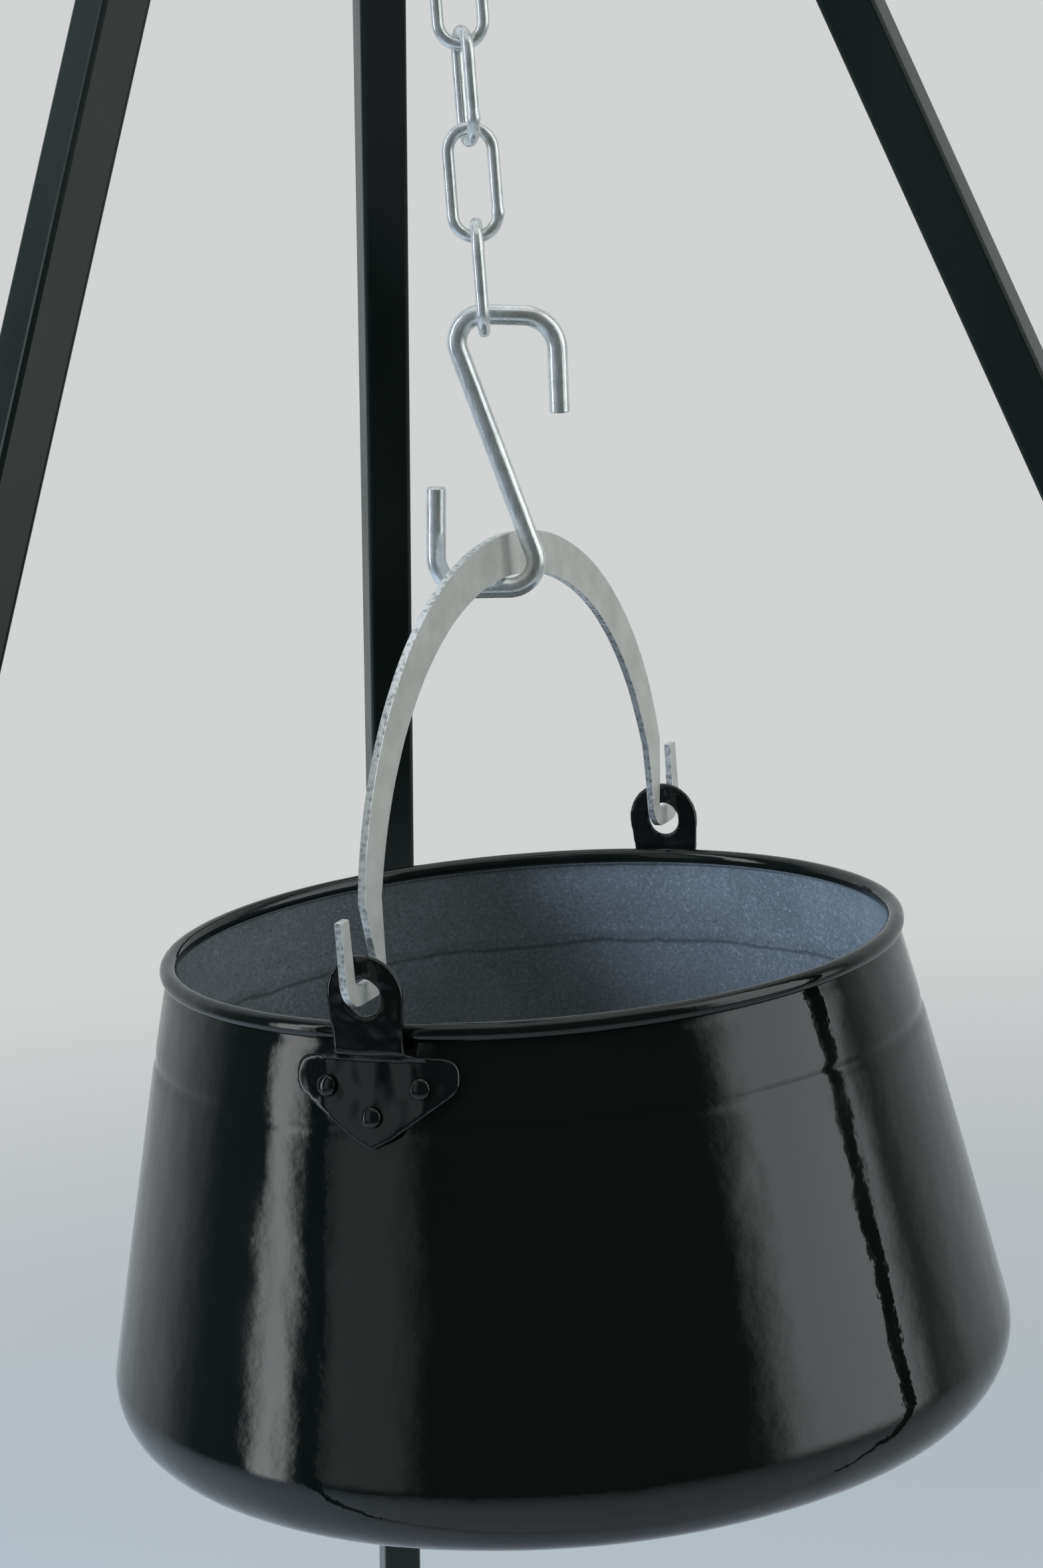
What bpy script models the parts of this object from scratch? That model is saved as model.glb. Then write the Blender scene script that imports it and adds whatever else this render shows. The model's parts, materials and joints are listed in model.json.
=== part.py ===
"""Campfire tripod: three folding legs of square tube on a hub plate, a link chain on an eye bolt,
an S-hook, and an enamelled kettle that hangs in its flat strip bail.

Metres, +Z up. The origin is on the ground, under the middle of the object's bounding box.
The back leg points to +Y. A moving piece has its own origin, or its parent empty, on its joint axis.
"""
import math

import bmesh
import bpy
from mathutils import Matrix, Vector

GAP = 0.0003                     # clearance between pieces that touch

# Tripod
HUB_Y = -0.1350                  # the tripod's axis, in front of the bounding box's middle
PIVOT_RADIUS = 0.0383            # leg pivots, from the tripod's axis
PIVOT_HEIGHT = 1.277
SPLAY = math.radians(21.75)      # leg's angle from the vertical
TUBE = 0.020
TUBE_WALL = 0.0015
TUBE_CORNER = 0.002
LEG_ABOVE_PIVOT = 0.012
# For each leg, the direction of its pivot from the axis and the direction in which it leans.
LEGS = {"back": (87.4, 91.5), "left": (210.0, 210.0), "right": (330.0, 330.0)}
LEG_REACH = PIVOT_HEIGHT / math.cos(SPLAY)      # pivot to ground, along the leg
LEG_END_LIFT = 0.016             # the tube stops this far short of the ground
CAP_SIZE = 0.025
CAP_SLEEVE = 0.036               # length of tube that the foot cap covers

# Hub
PLATE_RADIUS = 0.055
PLATE_THICKNESS = 0.004
PLATE_BOTTOM = PIVOT_HEIGHT + LEG_ABOVE_PIVOT * math.cos(SPLAY) + TUBE / 2 * math.sin(SPLAY) + GAP
LUG_THICKNESS = 0.003
LUG_RADIUS = 0.012
LUG_INNER = TUBE / 2 + 0.0005    # half the space between two lugs
LUG_OUTER = LUG_INNER + LUG_THICKNESS

# Fasteners, M8
BOLT_RADIUS = 0.004
BOLT_HOLE = BOLT_RADIUS + GAP
HEX_RADIUS = 0.0075              # across corners, halved
BOLT_HEAD = 0.0053
NUT_HEIGHT = 0.0065
WASHER_RADIUS = 0.008
WASHER_THICKNESS = 0.0016
THREAD_PAST_NUT = 0.003

# Chain and eye
CHAIN_X = 0.006                  # the eye stands a little off the tripod's axis
CHAIN_Y = HUB_Y - 0.001
CHAIN_TURN = math.radians(-10.7)  # direction of the hook's plane
EYE_RADIUS = 0.011               # centreline of the ring
EYE_WIRE = 0.003
EYE_Z = 1.2714
LINK_COUNT = 11
LINK_WIRE = 0.0024
LINK_SPAN = 0.04185              # between the centres of its two end wires
LINK_BEND = 0.0088               # centreline radius of the ends
LINK_TWIST = {9: math.radians(15.0)}  # a link that hangs turned a little further

# S-hook
HOOK_WIRE = 0.004
HOOK_HALF_HEIGHT = 0.054         # centre to the middle of the top bar
HOOK_OFFSET = 0.0010             # the hook's middle, beside the chain's line

# Kettle, measured from the centre of the rim's bead
RIM_RADIUS = 0.1465
BEAD_RADIUS = 0.0036
WALL = 0.002
COLLAR_TOP = (0.1479, -0.0033)
COLLAR_CREASE = (0.1563, -0.0390)
BELLY_END = (0.1830, -0.1613)
SHOULDER_RADIUS = 0.0274
BOTTOM_RADIUS = 0.411
TURN_STEPS = 48

# Ears, bail and rivets, with the kettle's hinge axis at the middle of the ear holes
EAR_LIFT = 0.0155                # hole centre above the bead's centre
EAR_HOLE = 0.007
EAR_HEAD = (0.1535, 0.1565)      # inner and outer face, from the kettle's axis
WING_THICKNESS = 0.0026
WING_LOW = -0.043
BAIL_TURN = math.radians(56.2)
BAIL_THICKNESS = 0.003
BAIL_WIDTH = 0.017               # at the top of the arch
# For each half of the bail: the arch's half span and roundness, and where it comes down inside the ear.
BAIL_HALVES = {"far": (0.1495, 2.1, 0.1435), "near": (0.1475, 2.0, 0.1405)}
BAIL_TIP = 0.167                 # centreline of the turned-up end
BAIL_TIP_HEIGHT = 0.0315
BAIL_THROUGH = 0.002             # centreline in the ear hole, above the hinge axis
RIVET_SHANK = 0.0022
RIVET_HEAD = 0.0045
RIVET_PLACES = {"left": (-0.0185, -0.0195), "right": (0.0185, -0.0195), "low": (0.0, -0.0300)}

# Heights that follow from the chain
FIRST_LINK_TOP = EYE_Z - EYE_RADIUS + EYE_WIRE + LINK_WIRE + GAP
LINK_PITCH = LINK_SPAN - 2 * LINK_WIRE - GAP
HOOK_Z = (FIRST_LINK_TOP - (LINK_COUNT - 1) * LINK_PITCH - LINK_SPAN
          + LINK_WIRE + HOOK_WIRE + GAP - HOOK_HALF_HEIGHT)
BAIL_PIVOT_Z = HOOK_Z - HOOK_HALF_HEIGHT
BAIL_INNER_TOP = BAIL_PIVOT_Z + HOOK_WIRE + GAP
BAIL_RISE = 0.1395               # hinge axis of the kettle to the arch's centreline
KETTLE_PIVOT_Z = BAIL_INNER_TOP + BAIL_WIDTH / 2 - BAIL_RISE

parts = None
cutters = None


def clear_scene():
    for obj in list(bpy.data.objects):
        bpy.data.objects.remove(obj, do_unlink=True)


def new_collection(name):
    collection = bpy.data.collections.new(name)
    bpy.context.scene.collection.children.link(collection)
    return collection


def material(name, colour, roughness, metallic):
    mat = bpy.data.materials.new(name)
    mat.use_nodes = True
    shader = mat.node_tree.nodes["Principled BSDF"]
    shader.inputs["Base Color"].default_value = (*colour, 1.0)
    shader.inputs["Roughness"].default_value = roughness
    shader.inputs["Metallic"].default_value = metallic
    mat.diffuse_color = (*colour, 1.0)
    return mat


# ---------------------------------------------------------------- placing

def empty(name, matrix):
    obj = bpy.data.objects.new(name, None)
    obj.empty_display_size = 0.02
    obj.matrix_world = matrix
    parts.objects.link(obj)
    return obj


def add_part(name, data, mat, parent=None, matrix=None):
    """Link a piece, placed by its own matrix in its parent's space."""
    obj = bpy.data.objects.new(name, data)
    data.materials.append(mat)
    obj.parent = parent
    obj.matrix_local = matrix or Matrix.Identity(4)
    parts.objects.link(obj)
    return obj


def add_cutter(name, mesh, parent=None, matrix=None):
    obj = bpy.data.objects.new(name, mesh)
    obj.parent = parent
    obj.matrix_local = matrix or Matrix.Identity(4)
    obj.display_type = "WIRE"
    obj.hide_render = True
    cutters.objects.link(obj)
    return obj


def boolean(obj, other, operation):
    modifier = obj.modifiers.new(f"{operation.lower()}_{other.name}", "BOOLEAN")
    modifier.operation = operation
    modifier.solver = "EXACT"
    modifier.object = other


# ---------------------------------------------------------------- meshes

def box_mesh(name, low, high):
    low = Vector(low)
    high = Vector(high)
    bm = bmesh.new()
    bmesh.ops.create_cube(bm, size=1.0)
    size = Matrix.Diagonal((*(high - low), 1.0))
    bmesh.ops.transform(bm, matrix=Matrix.Translation((low + high) / 2) @ size, verts=bm.verts)
    return mesh_of(bm, name)


def rod_mesh(name, radius, low, high, segments=24):
    """A round or hexagonal rod along Z."""
    bm = bmesh.new()
    add_rod(bm, radius, low, high, segments)
    return mesh_of(bm, name)


def add_rod(bm, radius, low, high, segments=24, matrix=None):
    middle = Matrix.Translation((0, 0, (low + high) / 2))
    bmesh.ops.create_cone(bm, cap_ends=True, segments=segments, radius1=radius, radius2=radius,
                          depth=high - low, matrix=(matrix or Matrix.Identity(4)) @ middle)


def mesh_of(bm, name):
    mesh = bpy.data.meshes.new(name)
    bm.to_mesh(mesh)
    bm.free()
    return mesh


def smooth(mesh, angle=40.0):
    mesh.shade_smooth()
    mesh.set_sharp_from_angle(angle=math.radians(angle))


def profile_mesh(name, points, closed):
    """A chain of edges in the XZ plane, for a Screw modifier."""
    bm = bmesh.new()
    verts = [bm.verts.new((x, 0.0, z)) for x, z in points]
    for a, b in zip(verts, verts[1:]):
        bm.edges.new((a, b))
    if closed:
        bm.edges.new((verts[-1], verts[0]))
    return mesh_of(bm, name)


def turn(obj, steps):
    screw = obj.modifiers.new("turn", "SCREW")
    screw.axis = "Z"
    screw.angle = math.tau
    screw.steps = steps
    screw.render_steps = steps
    screw.use_merge_vertices = True
    screw.merge_threshold = 0.00001
    screw.use_smooth_shade = True


def turned_part(name, points, closed, steps, mat, parent=None, matrix=None):
    obj = add_part(name, profile_mesh(name, points, closed), mat, parent, matrix)
    turn(obj, steps)
    return obj


# ---------------------------------------------------------------- outlines

def arc(centre, radius, start, end, count):
    """Points of an arc from the angle start to the angle end, in degrees."""
    points = []
    for i in range(count + 1):
        angle = math.radians(start + (end - start) * i / count)
        points.append((centre[0] + radius * math.cos(angle), centre[1] + radius * math.sin(angle)))
    return points


def rounded_path(corners, closed=False, segments=6):
    """Turn corners (x, y, radius) into a path with round corners."""
    points = []
    count = len(corners)
    for i, (x, y, radius) in enumerate(corners):
        if not radius or (not closed and i in (0, count - 1)):
            points.append((x, y))
            continue
        corner = Vector((x, y))
        back = (Vector(corners[i - 1][:2]) - corner).normalized()
        ahead = (Vector(corners[(i + 1) % count][:2]) - corner).normalized()
        half = back.angle(ahead) / 2
        centre = corner + (back + ahead).normalized() * radius / math.sin(half)
        first = corner + back * radius / math.tan(half) - centre
        last = corner + ahead * radius / math.tan(half) - centre
        sweep = first.angle_signed(last)
        for step in range(segments + 1):
            turned = Matrix.Rotation(-sweep * step / segments, 2) @ first
            points.append(tuple(centre + turned))
    return points


def wire_curve(name, points, radius, cyclic=False):
    """A round wire along points (x, z) in the XZ plane."""
    curve = bpy.data.curves.new(name, "CURVE")
    curve.dimensions = "3D"
    curve.bevel_depth = radius
    curve.bevel_resolution = 2
    curve.use_fill_caps = True
    spline = curve.splines.new("POLY")
    spline.points.add(len(points) - 1)
    for point, (x, z) in zip(spline.points, points):
        point.co = (x, 0.0, z, 1.0)
    spline.use_cyclic_u = cyclic
    return curve


def flat_curve(name, points, thickness):
    """A flat plate with the outline given, in the XY plane."""
    curve = bpy.data.curves.new(name, "CURVE")
    curve.dimensions = "2D"
    curve.fill_mode = "BOTH"
    curve.extrude = thickness / 2
    spline = curve.splines.new("POLY")
    spline.points.add(len(points) - 1)
    for point, (x, y) in zip(spline.points, points):
        point.co = (x, y, 0.0, 1.0)
    spline.use_cyclic_u = True
    return curve


def mesh_from_curve(curve):
    """The curve as a closed mesh, so that a Boolean can use it."""
    obj = bpy.data.objects.new(curve.name, curve)
    parts.objects.link(obj)
    graph = bpy.context.evaluated_depsgraph_get()
    mesh = bpy.data.meshes.new_from_object(obj.evaluated_get(graph))
    bpy.data.objects.remove(obj, do_unlink=True)
    bm = bmesh.new()
    bm.from_mesh(mesh)
    bmesh.ops.remove_doubles(bm, verts=bm.verts, dist=0.00001)
    bm.to_mesh(mesh)
    bm.free()
    mesh.materials.clear()
    return mesh


def upright(thickness_along_y=0.0):
    """Stand a flat outline up: its Y becomes the world's Z."""
    return Matrix.Translation((0, thickness_along_y, 0)) @ Matrix.Rotation(math.pi / 2, 4, "X")


def turned_about_z(x, y, z, angle):
    return Matrix.Translation((x, y, z)) @ Matrix.Rotation(angle, 4, "Z")


# ---------------------------------------------------------------- tripod

def pivot_place(side):
    """The leg's pivot, from the tripod's axis on the ground: X outward, Y along the bolt."""
    place, lean = (math.radians(angle) for angle in LEGS[side])
    spot = (PIVOT_RADIUS * math.cos(place), PIVOT_RADIUS * math.sin(place), PIVOT_HEIGHT)
    return Matrix.Translation(spot) @ Matrix.Rotation(lean, 4, "Z")


def leg_pivot(side):
    splayed = pivot_place(side) @ Matrix.Rotation(-SPLAY, 4, "Y")
    return empty(f"pivot_{side}", Matrix.Translation((0, HUB_Y, 0)) @ splayed)


def make_leg(side, pivot, mat, ground):
    low = -(LEG_REACH - LEG_END_LIFT)
    half = TUBE / 2
    leg = add_part(f"leg_{side}", box_mesh("leg", (-half, -half, low), (half, half, LEG_ABOVE_PIVOT)),
                   mat, pivot)
    bevel = leg.modifiers.new("round_corners", "BEVEL")
    bevel.width = TUBE_CORNER
    bevel.segments = 3
    bevel.limit_method = "WEIGHT"
    mark_long_edges(leg.data)
    inside = half - TUBE_WALL
    bore = box_mesh("bore", (-inside, -inside, low - 0.01), (inside, inside, LEG_ABOVE_PIVOT + 0.01))
    boolean(leg, add_cutter(f"bore_{side}", bore, pivot), "DIFFERENCE")
    hole = rod_mesh("hole", BOLT_HOLE, -TUBE, TUBE)
    across = Matrix.Rotation(math.pi / 2, 4, "X")
    boolean(leg, add_cutter(f"leg_hole_{side}", hole, pivot, across), "DIFFERENCE")
    make_foot(side, pivot, ground, low)


def mark_long_edges(mesh):
    """Give the Bevel modifier the four edges that run along the tube."""
    weights = mesh.attributes.new("bevel_weight_edge", "FLOAT", "EDGE")
    for edge in mesh.edges:
        a, b = (mesh.vertices[i].co for i in edge.vertices)
        weights.data[edge.index].value = 1.0 if abs(a.z - b.z) > TUBE else 0.0


def make_foot(side, pivot, ground, tube_end):
    half = CAP_SIZE / 2
    top = tube_end + CAP_SLEEVE
    block = box_mesh("foot_cap", (-half, -half, -LEG_REACH - half), (half, half, top))
    foot = add_part(f"foot_cap_{side}", block, MATERIALS["foot"], pivot)
    inside = TUBE / 2 + GAP
    socket = box_mesh("socket", (-inside, -inside, tube_end - GAP), (inside, inside, top + 0.01))
    boolean(foot, add_cutter(f"socket_{side}", socket, pivot), "DIFFERENCE")
    boolean(foot, ground, "DIFFERENCE")


def make_hub():
    bottom = PLATE_BOTTOM
    plate = add_part("hub_plate", rod_mesh("hub_plate", PLATE_RADIUS, bottom, bottom + PLATE_THICKNESS, 48),
                     MATERIALS["paint"], None, Matrix.Translation((0, HUB_Y, 0)))
    smooth(plate.data)
    lugs = add_cutter("lugs", lug_mesh(), None, Matrix.Translation((0, HUB_Y, 0)))
    boolean(plate, lugs, "UNION")
    holes = bmesh.new()
    for side in LEGS:
        add_rod(holes, BOLT_HOLE, -TUBE, TUBE, 24, bolt_frame(side))
    eye_hole = Matrix.Translation((CHAIN_X, CHAIN_Y - HUB_Y, 0))
    add_rod(holes, BOLT_HOLE, bottom - 0.01, bottom + 0.02, 24, eye_hole)
    cutter = add_cutter("hub_holes", mesh_of(holes, "hub_holes"), None, Matrix.Translation((0, HUB_Y, 0)))
    boolean(plate, cutter, "DIFFERENCE")


def bolt_frame(side):
    """The same place with Z along the bolt."""
    return pivot_place(side) @ Matrix.Rotation(-math.pi / 2, 4, "X")


def lug_mesh():
    """Six lugs, each a flat plate with a round lower end, as separate closed bodies."""
    reach = PLATE_BOTTOM + PLATE_THICKNESS / 2 - PIVOT_HEIGHT
    outline = arc((0, 0), LUG_RADIUS, 180, 360, 12) + [(LUG_RADIUS, reach), (-LUG_RADIUS, reach)]
    bm = bmesh.new()
    for side in LEGS:
        for hand in (-1, 1):
            middle = hand * (LUG_INNER + LUG_THICKNESS / 2)
            plate = mesh_from_curve(flat_curve("lug", outline, LUG_THICKNESS))
            plate.transform(pivot_place(side) @ Matrix.Translation((0, middle, 0)) @ upright())
            bm.from_mesh(plate)
    return mesh_of(bm, "lugs")


def washer_profile(inner, outer, low, high):
    return [(outer, high), (outer, low), (inner, low), (inner, high)]


def hex_bolt(name, shank_end, head_low, head_high, parent, matrix):
    """A bolt along Z, its head from head_low to head_high and its shank down to shank_end."""
    bolt = add_part(name, rod_mesh(name, HEX_RADIUS, head_low, head_high, 6), MATERIALS["zinc"], parent, matrix)
    overlap = (head_high - head_low) / 2
    shank = rod_mesh("shank", BOLT_RADIUS, shank_end, head_low + overlap)
    boolean(bolt, add_cutter(f"shank_{name}", shank, parent, matrix), "UNION")


def hex_nut(name, low, parent, matrix):
    nut = add_part(name, rod_mesh(name, HEX_RADIUS, low, low + NUT_HEIGHT, 6), MATERIALS["zinc"], parent, matrix)
    thread = rod_mesh("thread", BOLT_HOLE, low - 0.01, low + NUT_HEIGHT + 0.01)
    boolean(nut, add_cutter(f"thread_{name}", thread, parent, matrix), "DIFFERENCE")


def make_pivot_fasteners(side):
    frame = Matrix.Translation((0, HUB_Y, 0)) @ bolt_frame(side)
    washer_low = LUG_OUTER + GAP
    head_low = washer_low + WASHER_THICKNESS + GAP
    nut_high = -head_low
    hex_bolt(f"pivot_bolt_{side}", nut_high - NUT_HEIGHT - THREAD_PAST_NUT, head_low, head_low + BOLT_HEAD,
             None, frame)
    hex_nut(f"pivot_nut_{side}", nut_high - NUT_HEIGHT, None, frame)
    for end, low in (("head", washer_low), ("nut", -washer_low - WASHER_THICKNESS)):
        ring = washer_profile(BOLT_HOLE, WASHER_RADIUS, low, low + WASHER_THICKNESS)
        turned_part(f"pivot_washer_{side}_{end}", ring, True, 24, MATERIALS["zinc"], None, frame)


def make_eye():
    frame = turned_about_z(CHAIN_X, CHAIN_Y, EYE_Z, CHAIN_TURN)
    ring = wire_curve("eye_bolt", arc((0, 0), EYE_RADIUS, 0, 360, 28)[:-1], EYE_WIRE, cyclic=True)
    eye = add_part("eye_bolt", mesh_from_curve(ring), MATERIALS["zinc"], None, frame)
    smooth(eye.data)
    plate_low = PLATE_BOTTOM - EYE_Z
    plate_high = plate_low + PLATE_THICKNESS
    washer_low = plate_high + GAP
    nut_low = washer_low + WASHER_THICKNESS + GAP
    shoulder = rod_mesh("shoulder", HEX_RADIUS, EYE_RADIUS, plate_low - GAP)
    shank = rod_mesh("shank", BOLT_RADIUS, EYE_RADIUS + 0.001, nut_low + NUT_HEIGHT + THREAD_PAST_NUT)
    boolean(eye, add_cutter("eye_shoulder", shoulder, None, frame), "UNION")
    boolean(eye, add_cutter("eye_shank", shank, None, frame), "UNION")
    ring = washer_profile(BOLT_HOLE, WASHER_RADIUS, washer_low, washer_low + WASHER_THICKNESS)
    turned_part("eye_washer", ring, True, 24, MATERIALS["zinc"], None, frame)
    hex_nut("eye_nut", nut_low, None, frame)


# ---------------------------------------------------------------- chain and hook

def link_path():
    """Centreline of a link whose top wire is at the height 0."""
    low = LINK_BEND - LINK_SPAN
    ends = arc((0, -LINK_BEND), LINK_BEND, 0, 180, 8) + arc((0, low), LINK_BEND, 180, 360, 8)
    return ends


def make_chain():
    """Links hang one in the other, each turned a quarter from the one above."""
    for number in range(1, LINK_COUNT + 1):
        curve = wire_curve("chain_link", link_path(), LINK_WIRE, cyclic=True)
        quarter = (math.pi / 2 if number % 2 else 0.0) + LINK_TWIST.get(number, 0.0)
        above = EYE_WIRE if number == 1 else LINK_WIRE
        top = FIRST_LINK_TOP - (number - 1) * LINK_PITCH
        rise = above + LINK_WIRE + GAP
        pivot = empty(f"pivot_link_{number:02d}", turned_about_z(CHAIN_X, CHAIN_Y, top - rise, CHAIN_TURN))
        turned = Matrix.Translation((0, 0, rise)) @ Matrix.Rotation(quarter, 4, "Z")
        add_part(f"chain_link_{number:02d}", curve, MATERIALS["zinc"], pivot, turned)


def hook_path():
    """Centreline of the S-hook about its middle, from the upper tip to the lower one."""
    top = HOOK_HALF_HEIGHT
    upper = [(0.0260, 0.0135, 0), (0.0274, top - 0.0029, 0.0135), (-0.0160, top + 0.0015, 0.0105)]
    lower = [(0.0160, -top - 0.0009, 0.0105), (-0.0280, -top + 0.0015, 0.013), (-0.0248, -0.0120, 0)]
    return rounded_path(upper + lower, segments=8)


def make_hook():
    rise = LINK_WIRE + HOOK_WIRE + GAP
    pivot = empty("pivot_hook", turned_about_z(CHAIN_X, CHAIN_Y, HOOK_Z + HOOK_HALF_HEIGHT - rise, CHAIN_TURN))
    place = Matrix.Translation((HOOK_OFFSET, 0, rise - HOOK_HALF_HEIGHT))
    add_part("s_hook", wire_curve("s_hook", hook_path(), HOOK_WIRE), MATERIALS["zinc"], pivot, place)


# ---------------------------------------------------------------- kettle

def kettle_profile():
    """Inside from the axis up, over the rolled rim, and down the outside to the axis."""
    outer = [COLLAR_TOP, COLLAR_CREASE] + belly_and_bottom(0.0)
    inner = [(COLLAR_TOP[0] - WALL, COLLAR_TOP[1]), (COLLAR_CREASE[0] - WALL, COLLAR_CREASE[1])]
    inner += belly_and_bottom(WALL)
    bead = arc((RIM_RADIUS, 0), BEAD_RADIUS, 252, -60, 12)
    return list(reversed(inner)) + bead + outer


def belly_and_bottom(inset):
    """Shoulder arc and shallow dome, moved inward by inset."""
    slope = math.atan2(BELLY_END[0] - COLLAR_CREASE[0], COLLAR_CREASE[1] - BELLY_END[1])
    radius = SHOULDER_RADIUS
    centre = (BELLY_END[0] - radius * math.cos(slope), BELLY_END[1] - radius * math.sin(slope))
    dome_z = centre[1] + math.sqrt((BOTTOM_RADIUS - radius) ** 2 - centre[0] ** 2)
    join = math.atan2(centre[1] - dome_z, centre[0])
    shoulder = arc(centre, radius - inset, math.degrees(slope), math.degrees(join), 7)
    dome = arc((0, dome_z), BOTTOM_RADIUS - inset, math.degrees(join), -90, 5)
    dome[-1] = (0.0, dome[-1][1])
    return shoulder + dome[1:]


def collar_radius(z):
    """Outer radius of the kettle's collar at the height z from the bead."""
    share = (COLLAR_TOP[1] - z) / (COLLAR_TOP[1] - COLLAR_CREASE[1])
    return COLLAR_TOP[0] + share * (COLLAR_CREASE[0] - COLLAR_TOP[0])


def rivet_frames(side_angle):
    """Where the rivets of one ear stand: Z along the rivet, pointing out, from the kettle's pivot."""
    tilt = math.atan2(COLLAR_CREASE[0] - COLLAR_TOP[0], COLLAR_TOP[1] - COLLAR_CREASE[1])
    frames = {}
    for name, (across, z) in RIVET_PLACES.items():
        radius = collar_radius(z)
        around = Matrix.Rotation(side_angle + math.asin(across / radius), 4, "Z")
        lean = Matrix.Rotation(math.pi / 2 - tilt, 4, "Y")
        frames[name] = around @ Matrix.Translation((radius, 0, z - EAR_LIFT)) @ lean
    return frames


def rivet_holes(name, pivot):
    bm = bmesh.new()
    for angle in EAR_ANGLES.values():
        for frame in rivet_frames(angle).values():
            add_rod(bm, RIVET_SHANK + GAP, -0.008, 0.008, 16, frame)
    return add_cutter(name, mesh_of(bm, name), pivot)


def make_kettle(pivot):
    kettle = turned_part("kettle", kettle_profile(), False, TURN_STEPS, MATERIALS["enamel"], pivot,
                         Matrix.Translation((0, 0, -EAR_LIFT)))
    holes = rivet_holes("rivet_holes", pivot)
    boolean(kettle, holes, "DIFFERENCE")
    for side, angle in EAR_ANGLES.items():
        make_ear(side, angle, pivot, holes)


def ear_section():
    """Section of the ear in a plane through the kettle's axis."""
    inner, outer = EAR_HEAD
    wing_in = GAP + 0.0001
    wing_out = wing_in + WING_THICKNESS
    step = -0.0085
    return [(outer, 0.034), (outer, -0.006), (collar_radius(step) + wing_out, step),
            (collar_radius(WING_LOW) + wing_out, WING_LOW), (collar_radius(WING_LOW) + wing_in, WING_LOW),
            (collar_radius(step) + wing_in, step), (inner, -0.003), (inner, 0.034)]


def ear_outline():
    """The ear seen from outside: round head, straight strap, two side lobes and a low tip."""
    half = [(0.0140, -0.0070, 0.002), (0.0330, -0.0090, 0.006), (0.0330, -0.0205, 0.006),
            (0.0080, -0.0375, 0.004), (0.0, -0.0415, 0)]
    right = rounded_path([(0.0140, 0.0, 0)] + half, segments=4)
    head = arc((0, EAR_LIFT + 0.0004), 0.0155, 0, 180, 16)
    left = [(-y, z) for y, z in reversed(right)]
    return list(reversed(head)) + right + left[1:]


def make_ear(side, angle, pivot, holes):
    frame = Matrix.Rotation(angle, 4, "Z") @ Matrix.Translation((0, 0, -EAR_LIFT))
    ear = turned_part(f"ear_{side}", ear_section(), True, TURN_STEPS, MATERIALS["enamel"], pivot, frame)
    prism = mesh_from_curve(flat_curve("ear_outline", ear_outline(), 0.06))
    facing = Matrix.Translation((0.155, 0, 0)) @ Matrix.Rotation(math.pi / 2, 4, "Z") @ upright()
    boolean(ear, add_cutter(f"outline_{side}", prism, pivot, frame @ facing), "INTERSECT")
    along = Matrix.Rotation(angle, 4, "Z") @ Matrix.Rotation(math.pi / 2, 4, "Y")
    hole = rod_mesh("ear_hole", EAR_HOLE, 0.14, 0.17, 24)
    boolean(ear, add_cutter(f"ear_hole_{side}", hole, pivot, along), "DIFFERENCE")
    boolean(ear, holes, "DIFFERENCE")
    for name, rivet in rivet_frames(angle).items():
        make_rivet(f"rivet_{side}_{name}", pivot, rivet)


def make_rivet(name, pivot, frame):
    """A domed head outside the ear and a flat one inside the kettle, on one shank."""
    outside = WING_THICKNESS + 3 * GAP
    inside = -WALL - GAP
    dome = [(RIVET_HEAD * math.sin(a), outside + 0.002 * math.cos(a)) for a in (0.0, 0.5, 1.0, math.pi / 2)]
    shank = [(RIVET_SHANK, outside), (RIVET_SHANK, inside)]
    foot = [(RIVET_HEAD - 0.0005, inside), (RIVET_HEAD - 0.0005, inside - 0.001), (0.0, inside - 0.001)]
    turned_part(name, dome + shank + foot, False, 16, MATERIALS["enamel"], pivot, frame)


# ---------------------------------------------------------------- bail

def bail_half(half_span, roundness, side):
    """Half of the arch, from its top to the turned-up tip: x, height and the strip's half width."""
    power = 2 / roundness
    points = []
    for i in range(14):
        angle = math.radians(90 - i * 76 / 13)
        x = half_span * math.cos(angle) ** power if i else 0.0
        z = BAIL_RISE * math.sin(angle) ** power
        points.append((x, z, BAIL_WIDTH / 2 - 0.0012 * (i / 13) ** 6))
    points.append((side + 0.001, 0.0185, 0.0050))
    end = rounded_path([(side, 0.0105, 0), (side, BAIL_THROUGH, 0.006), (BAIL_TIP, BAIL_THROUGH, 0.007),
                        (BAIL_TIP + 0.0005, BAIL_TIP_HEIGHT, 0)])
    points += [(x, z, 0.0038) for x, z in end]
    points[-1] = (*end[-1], 0.0033)
    return points


def bail_edges(line):
    """Both edges of the strip, offset square to its centreline."""
    outer = []
    inner = []
    for i, (x, z, half) in enumerate(line):
        before = Vector(line[max(i - 1, 0)][:2])
        after = Vector(line[min(i + 1, len(line) - 1)][:2])
        along = (after - before).normalized() if i else Vector((1, 0))
        side = Vector((-along.y, along.x)) * half
        outer.append((x + side.x, z + side.y))
        inner.append((x - side.x, z - side.y))
    return outer, inner


def bail_outline():
    outer, inner = bail_edges(bail_half(*BAIL_HALVES["far"]))
    far = outer + list(reversed(inner))
    outer, inner = bail_edges(bail_half(*BAIL_HALVES["near"]))
    near = [(-x, z) for x, z in inner[1:] + list(reversed(outer))[:-1]]
    return far + near


def make_bail():
    pivot = empty("pivot_bail", turned_about_z(CHAIN_X, CHAIN_Y, BAIL_PIVOT_Z, BAIL_TURN))
    place = Matrix.Translation((0, 0, KETTLE_PIVOT_Z - BAIL_PIVOT_Z)) @ upright()
    add_part("bail", flat_curve("bail", bail_outline(), BAIL_THICKNESS), MATERIALS["galvanised"], pivot, place)


# ---------------------------------------------------------------- the whole object

EAR_ANGLES = {"near": math.pi, "far": 0.0}

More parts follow.
